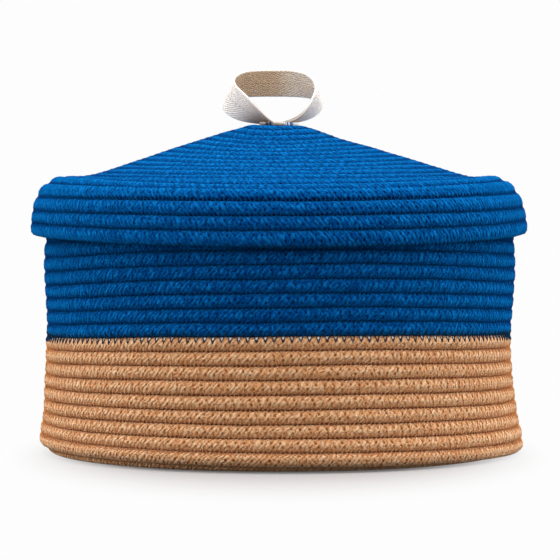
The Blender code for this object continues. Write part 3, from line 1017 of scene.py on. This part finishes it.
def tape_piece(name, surface, first, last, along, thickness, width, finish, columns=20):
    """A strip of tape: its section runs across one face and back across the other, a little
    thicker at the selvedges, and is carried along the surface. The UV is metres along and across,
    and a metre more across on the face that the normal leaves behind."""
    turn = np.linspace(first, last, along + 1)
    row = np.sin(np.linspace(-1, 1, columns) * math.pi / 2)
    edge = np.sqrt(1 - np.clip((np.abs(row) - 0.94) / 0.06, 0, 1) ** 2).clip(0.15)
    thick = edge * (1 + 0.25 * smooth_share((np.abs(row) - 0.86) / 0.06))
    across = np.concatenate([row, row[::-1]])
    lift = np.concatenate([thick, -thick[::-1]]) * thickness / 2
    turns, rows = np.meshgrid(turn, across, indexing="ij")
    small = 1e-4
    along_way = surface(turns + small, rows) - surface(turns - small, rows)
    across_way = surface(turns, rows + small) - surface(turns, rows - small)
    normal = np.cross(along_way, across_way)
    normal = normal / np.maximum(np.linalg.norm(normal, axis=-1, keepdims=True), 1e-12)
    points = surface(turns, rows) + normal * lift[None, :, None]
    lengths = lengths_along(surface(turn, np.zeros(len(turn))))
    rings, sides = points.shape[:2]
    quads = tube_faces(rings, sides)
    ring, side = tube_places(rings, sides)
    u = np.stack([lengths[ring], lengths[ring], lengths[ring + 1], lengths[ring + 1]], -1)
    place = across * width / 2
    beside = place[(side + 1) % sides]
    behind = (side >= columns)[..., None]
    v = np.stack([place[side], beside, beside, place[side]], -1) + behind
    pairs = np.stack([u, v], -1).reshape(-1, 4, 2)
    if not faces_out(points, quads):
        quads, pairs = quads[:, ::-1], pairs[:, ::-1]
    faces = [*quads.tolist(), list(range(sides))[::-1], [(rings - 1) * sides + i for i in range(sides)]]
    layer = ("along_and_around", np.concatenate([pairs.reshape(-1, 2), np.zeros((2 * sides, 2))]))
    return mesh_object(name, points, faces, finish, [layer])


class BASKET_OT_make_handle(Operator):
    """Bends the tape into its loop and lays its sewn ends on the crown"""

    bl_idname = "basket.make_handle"
    bl_label = "Make the handle"

    def execute(self, context):
        s = context.scene
        handle = s.basket_handle
        hinge = SWING["pos_m"]

        def bent(turn, across):
            return loop_surface(handle, hinge, turn, across)

        first, last, steps = LOOP_START, TAU - LOOP_START, 220
        whole = lengths_along(bent(np.linspace(first, last, steps + 1), np.zeros(steps + 1)))[-1]
        tape = herringbone_tape("cream_twill_tape", s.basket_colours, handle.width, float(whole))
        loop = tape_piece("handle_tape", bent, first, last, steps, handle.thickness, handle.width, tape)
        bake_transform(loop)
        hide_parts("handle_neck", "handle_loop")

        crown = LidWinding(s)

        def foot(along, across):
            y = across * handle.width / 2
            return np.stack([along, y, crown.top(along, y) + 0.0006], -1)

        half = handle.foot / 2
        ends = tape_piece("handle_ends", foot, -half, half, 40, handle.ends_thickness, handle.width, tape)
        settle(ends, "lid", "cream_tape", "handle_feet")
        # The left tacks take the darker join thread, as painted shade for the shadow under the loop's left side
        for which, first, stitches in (("white", 0.0030, 4), ("blue", 0.0036, 5), ("join", -0.0085, 4)):
            path = self.tacks(handle, foot, first, stitches)
            tacks = thread_piece(f"{which}_tacks", path, 0.0006, 6, thread_finish(s, which))
            settle(tacks, "lid", "cream_tape")
        return {"FINISHED"}

    def tacks(self, handle, foot, first, stitches):
        """A thread that whips round the front edge of the tape's ends: out of the tape, over its
        edge, into the crown and back under it, once for each stitch."""
        loose = np.random.default_rng(stitches)
        places = first + handle.tack * (np.arange(stitches) + loose.uniform(-0.3, 0.3, stitches))
        onward = np.array([0, 0.2, 0.45, 0.6, 0.8])
        outward = np.array([0.75, 1.0, 1.09, 1.12, 0.8])
        upward = np.array([0.0004, 0.0011, -0.0002, -0.0022, -0.0016])
        x = (places[:, None] + onward * handle.tack).ravel()
        path = foot(x, np.tile(-outward, stitches))
        path[:, 2] += np.tile(upward, stitches)
        return path


class BASKET_OT_set_stage(Operator):
    """Lays the pale floor and sets the lights and the camera"""

    bl_idname = "basket.set_stage"
    bl_label = "Set the stage"

    def execute(self, context):
        s = context.scene
        stage = s.basket_stage
        self.light_room(s, stage)
        self.lay_floor(s, stage)
        lens = bpy.data.cameras.new("camera")
        lens.lens, lens.sensor_width = stage.lens, 36
        lens.clip_end = 100
        eye = Vector((stage.aim_side, -stage.distance, stage.eye_height))
        aim = Vector((stage.aim_side, 0, stage.aim_height))
        s.camera = bpy.data.objects.new("camera", lens)
        s.camera.location = eye
        s.camera.rotation_euler = (aim - eye).to_track_quat("-Z", "Y").to_euler()
        s.collection.objects.link(s.camera)
        return {"FINISHED"}

    def light_room(self, s, stage):
        """A soft room: ambient light, overhead light by the height's square, light from both sides
        by the square of the distance sideways, more from behind than from the front, and some
        from above and in front. The backdrop that the camera sees is plain white."""
        world = bpy.data.worlds.new("soft_room")
        world.use_nodes = True
        w = Nodes(world.node_tree)
        x, y, z = w.parts(w.node("ShaderNodeTexCoord", {}, {}, 0))
        high = z.math("MAXIMUM", 0.0)
        light = high * high * stage.overhead + x * x * stage.beside + y * stage.behind + stage.ambient
        light = (light + high * (0.0 - y).math("MAXIMUM", 0.0) * stage.ahead).math("MAXIMUM", 0.0)
        seen = w.node("ShaderNodeLightPath", {}, {}, 0)
        background = world.node_tree.nodes["Background"]
        background.inputs["Color"].default_value = (1, 1, 1, 1)
        w.tree.links.new(w.between(seen, light, stage.backdrop).socket, background.inputs["Strength"])
        s.world = world
        s.view_settings.view_transform = "Standard"
        s.view_settings.look = "None"

    def lay_floor(self, s, stage):
        """A round floor. Near the basket it is pale and takes its shadow, and from there on it
        glows as bright as the backdrop. It lights the basket less than it shows."""
        f = Finish("pale_floor", 0.9, 0.0)
        x, y = f.parts(f.object_place())[:2]
        far = 0.12 + 0.88 * f.smooth((x * x * 3.5 + y * y).math("SQRT"), 0.165, 0.320)
        seen = f.node("ShaderNodeLightPath", {}, {}, 0)
        floor, dim = tuple(s.basket_colours.floor), stage.floor_light
        f.feed("Base Color", f.mix(far, f.mix(seen, tuple(dim * part for part in floor), floor), (0, 0, 0)))
        f.feed("Emission Color", f.mix(far, (0, 0, 0), f.mix(seen, (dim, dim, dim), (1, 1, 1))))
        f.set(Emission_Strength=stage.backdrop)
        sides = 96
        turn = TAU * np.arange(sides) / sides
        rings = np.array([0.3, 1.2, 5.0, 20.0])[:, None, None]
        rim = np.stack([np.cos(turn), np.sin(turn), 0 * turn], -1)
        quads = tube_faces(len(rings), sides)[:, ::-1].tolist()
        points = rings * rim[None] - [0, 0, 0.0002]
        ground = mesh_object("floor", points, [*quads, list(range(sides))], f.material)


class BASKET_PT_panel(Panel):
    """The basket's sizes and colours, and the steps that make it"""

    bl_label = "Coiled cord basket"
    bl_space_type = "VIEW_3D"
    bl_region_type = "UI"
    bl_category = "Basket"

    def draw(self, context):
        for operator in OPERATORS:
            self.layout.operator(operator.bl_idname)
        for name, group in GROUPS.items():
            box = self.layout.box()
            box.label(text=name.replace("_", " ").capitalize())
            for size in group.__annotations__:
                box.prop(getattr(context.scene, name), size)


OPERATORS = (
    BASKET_OT_set_stage,
    BASKET_OT_wind_basket,
    BASKET_OT_wind_lid,
    BASKET_OT_sew_basket,
    BASKET_OT_sew_lid,
    BASKET_OT_make_handle,
)


def register():
    for made in (*GROUPS.values(), *OPERATORS, BASKET_PT_panel):
        bpy.utils.register_class(made)
    for name, group in GROUPS.items():
        setattr(bpy.types.Scene, name, PointerProperty(type=group))


def unregister():
    for name in GROUPS:
        delattr(bpy.types.Scene, name)
    for made in (BASKET_PT_panel, *OPERATORS[::-1], *list(GROUPS.values())[::-1]):
        bpy.utils.unregister_class(made)


def main():
    """Makes every piece in order."""
    register()
    bpy.ops.basket.set_stage()
    bpy.ops.basket.wind_basket()
    bpy.ops.basket.wind_lid()
    bpy.ops.basket.sew_basket()
    bpy.ops.basket.sew_lid()
    bpy.ops.basket.make_handle()


if __name__ == "__main__":
    main()
